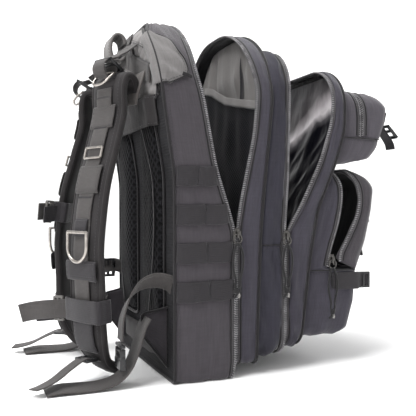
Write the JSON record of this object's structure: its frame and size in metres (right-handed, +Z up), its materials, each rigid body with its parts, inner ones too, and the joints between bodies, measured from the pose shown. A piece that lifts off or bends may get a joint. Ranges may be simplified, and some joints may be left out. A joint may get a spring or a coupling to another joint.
{
  "type": "trauma backpack",
  "caption": "Upright trauma backpack with fanned zipped compartments, front pockets, webbing rows, padded shoulder straps and hip webbing.",
  "frame": {"origin": "on the floor under the middle of the main compartment's flat base", "axes": "+Z up, +Y toward the wearer's back where the harness is, -Y toward the front pockets, +X across to the pack's left-hand side as seen from the harness"},
  "size_m": [0.298, 0.5533, 0.49],
  "materials": {
    "pack_cloth": "matte",
    "harness_cloth": "matte",
    "air_mesh": "matte",
    "lining": "satin",
    "webbing": "matte",
    "zip_metal": "satin",
    "cord": "matte",
    "steel": "satin",
    "buckle_plastic": "matte",
    "board": "matte"
  },
  "bodies": {
    "shell": {"rear_shell": "pack_cloth", "frame_sheet": "board", "back_pad_left": "air_mesh", "back_pad_right": "air_mesh", "lumbar_pad": "air_mesh", "yoke": "harness_cloth", "side_webbing_left": "webbing", "side_webbing_right": "webbing", "strap_anchor_left": "harness_cloth", "strap_anchor_right": "harness_cloth", "belt_left": "webbing", "belt_right": "webbing", "load_lifter_left": "webbing", "load_lifter_right": "webbing", "lower_webbing_left": "webbing", "lower_webbing_right": "webbing", "lower_buckle_left": "buckle_plastic", "lower_buckle_right": "buckle_plastic"},
    "main_front": {"front_panel": "pack_cloth", "mesh_pocket": "air_mesh", "organizer_gusset": "pack_cloth", "organizer_sleeve": "lining"},
    "organizer_front": {"organizer_flap": "pack_cloth", "lower_pocket": "pack_cloth", "upper_pocket": "pack_cloth", "compression_strap_left": "webbing", "compression_strap_right": "webbing"},
    "lower_front": {"lower_pocket_flap": "pack_cloth", "lower_flap_webbing": "webbing"},
    "upper_lid": {"upper_pocket_lid": "pack_cloth", "lid_strap": "webbing"},
    "carry_handle": {"grab_handle": "harness_cloth"},
    "lid_lock_left": {"lid_ladder_lock_left": "buckle_plastic"},
    "lid_lock_right": {"lid_ladder_lock_right": "buckle_plastic"},
    "main_slider_left": {"main_slider_left": "zip_metal"},
    "main_pull_left": {"main_pull_left": "cord"},
    "main_slider_right": {"main_slider_right": "zip_metal"},
    "main_pull_right": {"main_pull_right": "cord"},
    "organizer_slider_left": {"organizer_slider_left": "zip_metal"},
    "organizer_pull_left": {"organizer_pull_left": "cord"},
    "organizer_slider_right": {"organizer_slider_right": "zip_metal"},
    "organizer_pull_right": {"organizer_pull_right": "cord"},
    "lower_slider_left": {"lower_slider_left": "zip_metal"},
    "lower_pull_left": {"lower_pull_left": "cord"},
    "lower_slider_right": {"lower_slider_right": "zip_metal"},
    "lower_pull_right": {"lower_pull_right": "cord"},
    "upper_slider": {"upper_slider": "zip_metal"},
    "upper_pull": {"upper_pull": "cord"},
    "strap_left": {"shoulder_strap_left": "harness_cloth", "strap_webbing_left": "webbing", "strap_bar_left": "steel", "lifter_lock_left": "buckle_plastic"},
    "ring_left": {"strap_ring_left": "steel"},
    "sternum_left": {"sternum_half_left": "webbing"},
    "strap_right": {"shoulder_strap_right": "harness_cloth", "strap_webbing_right": "webbing", "strap_bar_right": "steel", "lifter_lock_right": "buckle_plastic"},
    "ring_right": {"strap_ring_right": "steel"},
    "sternum_right": {"sternum_half_right": "webbing"}
  },
  "joints": [
    {"name": "main_front_open", "type": "hinge", "parent": "shell", "child": "main_front", "pos_m": [0, -0.042, 0.015], "axis": [1, 0, 0], "range_deg": [-10, 75]},
    {"name": "organizer_front_open", "type": "hinge", "parent": "main_front", "child": "organizer_front", "pos_m": [0, -0.143, 0.033], "axis": [1, 0, 0], "range_deg": [-8, 10]},
    {"name": "lower_front_open", "type": "hinge", "parent": "organizer_front", "child": "lower_front", "pos_m": [0, -0.2425, 0.1375], "axis": [1, 0, 0], "range_deg": [-7, 40]},
    {"name": "upper_lid_open", "type": "hinge", "parent": "organizer_front", "child": "upper_lid", "pos_m": [0, -0.287, 0.331], "axis": [1, 0, 0], "range_deg": [0, 80]},
    {"name": "lid_lock_swing_left", "type": "hinge", "parent": "upper_lid", "child": "lid_lock_left", "pos_m": [-0.1, -0.3044, 0.349], "axis": [1, 0, 0], "range_deg": [-15, 25]},
    {"name": "lid_lock_swing_right", "type": "hinge", "parent": "upper_lid", "child": "lid_lock_right", "pos_m": [0.1, -0.3044, 0.349], "axis": [1, 0, 0], "range_deg": [-15, 25]},
    {"name": "carry_handle_swing", "type": "hinge", "parent": "shell", "child": "carry_handle", "pos_m": [0, 0.0805, 0.46], "axis": [1, 0, 0], "range_deg": [-12, 4]},
    {"name": "main_zip_left", "type": "slide", "parent": "shell", "child": "main_slider_left", "axis": [0, 0, 1], "range_m": [-0.15, 0]},
    {"name": "main_pull_swing_left", "type": "hinge", "parent": "main_slider_left", "child": "main_pull_left", "pos_m": [-0.145, -0.0415, 0.192], "axis": [0, 1, 0], "range_deg": [0, 80]},
    {"name": "main_zip_right", "type": "slide", "parent": "shell", "child": "main_slider_right", "axis": [0, 0, 1], "range_m": [-0.15, 0]},
    {"name": "main_pull_swing_right", "type": "hinge", "parent": "main_slider_right", "child": "main_pull_right", "pos_m": [0.145, -0.0415, 0.192], "axis": [0, -1, 0], "range_deg": [0, 80]},
    {"name": "organizer_zip_left", "type": "slide", "parent": "main_front", "child": "organizer_slider_left", "axis": [0, 0, 1], "range_m": [-0.01, 0]},
    {"name": "organizer_pull_swing_left", "type": "hinge", "parent": "organizer_slider_left", "child": "organizer_pull_left", "pos_m": [-0.139, -0.1195, 0.188], "axis": [0, 1, 0], "range_deg": [0, 80]},
    {"name": "organizer_zip_right", "type": "slide", "parent": "main_front", "child": "organizer_slider_right", "axis": [0, 0, 1], "range_m": [-0.01, 0]},
    {"name": "organizer_pull_swing_right", "type": "hinge", "parent": "organizer_slider_right", "child": "organizer_pull_right", "pos_m": [0.139, -0.1195, 0.188], "axis": [0, -1, 0], "range_deg": [0, 80]},
    {"name": "lower_zip_left", "type": "slide", "parent": "organizer_front", "child": "lower_slider_left", "axis": [0, 0, 1], "range_m": [-0.008, 0]},
    {"name": "lower_pull_swing_left", "type": "hinge", "parent": "lower_slider_left", "child": "lower_pull_left", "pos_m": [-0.128, -0.2, 0.152], "axis": [0, 1, 0], "range_deg": [0, 80]},
    {"name": "lower_zip_right", "type": "slide", "parent": "organizer_front", "child": "lower_slider_right", "axis": [0, 0, 1], "range_m": [-0.008, 0]},
    {"name": "lower_pull_swing_right", "type": "hinge", "parent": "lower_slider_right", "child": "lower_pull_right", "pos_m": [0.128, -0.2, 0.152], "axis": [0, -1, 0], "range_deg": [0, 80]},
    {"name": "upper_zip", "type": "slide", "parent": "organizer_front", "child": "upper_slider", "axis": [1, 0, 0], "range_m": [-0.12, 0]},
    {"name": "upper_pull_swing", "type": "hinge", "parent": "upper_slider", "child": "upper_pull", "pos_m": [0.06, -0.2508, 0.4048], "axis": [0, -1, 0], "range_deg": [0, 80]},
    {"name": "strap_swing_left", "type": "hinge", "parent": "shell", "child": "strap_left", "pos_m": [-0.06608, 0.09331, 0.38], "axis": [0.9063, 0.4226, 0], "range_deg": [0, 8]},
    {"name": "ring_swing_left", "type": "hinge", "parent": "strap_left", "child": "ring_left", "pos_m": [-0.09837, 0.16255, 0.196], "axis": [0.9063, 0.4226, 0], "range_deg": [0, 100]},
    {"name": "sternum_slide_left", "type": "slide", "parent": "strap_left", "child": "sternum_left", "axis": [-0.0258, 0.0553, 0.9981], "range_m": [-0.008, 0.02]},
    {"name": "strap_swing_right", "type": "hinge", "parent": "shell", "child": "strap_right", "pos_m": [0.06608, 0.09331, 0.38], "axis": [0.9063, -0.4226, 0], "range_deg": [0, 8]},
    {"name": "ring_swing_right", "type": "hinge", "parent": "strap_right", "child": "ring_right", "pos_m": [0.09837, 0.16255, 0.196], "axis": [0.9063, -0.4226, 0], "range_deg": [0, 100]},
    {"name": "sternum_slide_right", "type": "slide", "parent": "strap_right", "child": "sternum_right", "axis": [-0.0588, -0.1261, 0.9903], "range_m": [-0.004, 0.03]}
  ]
}
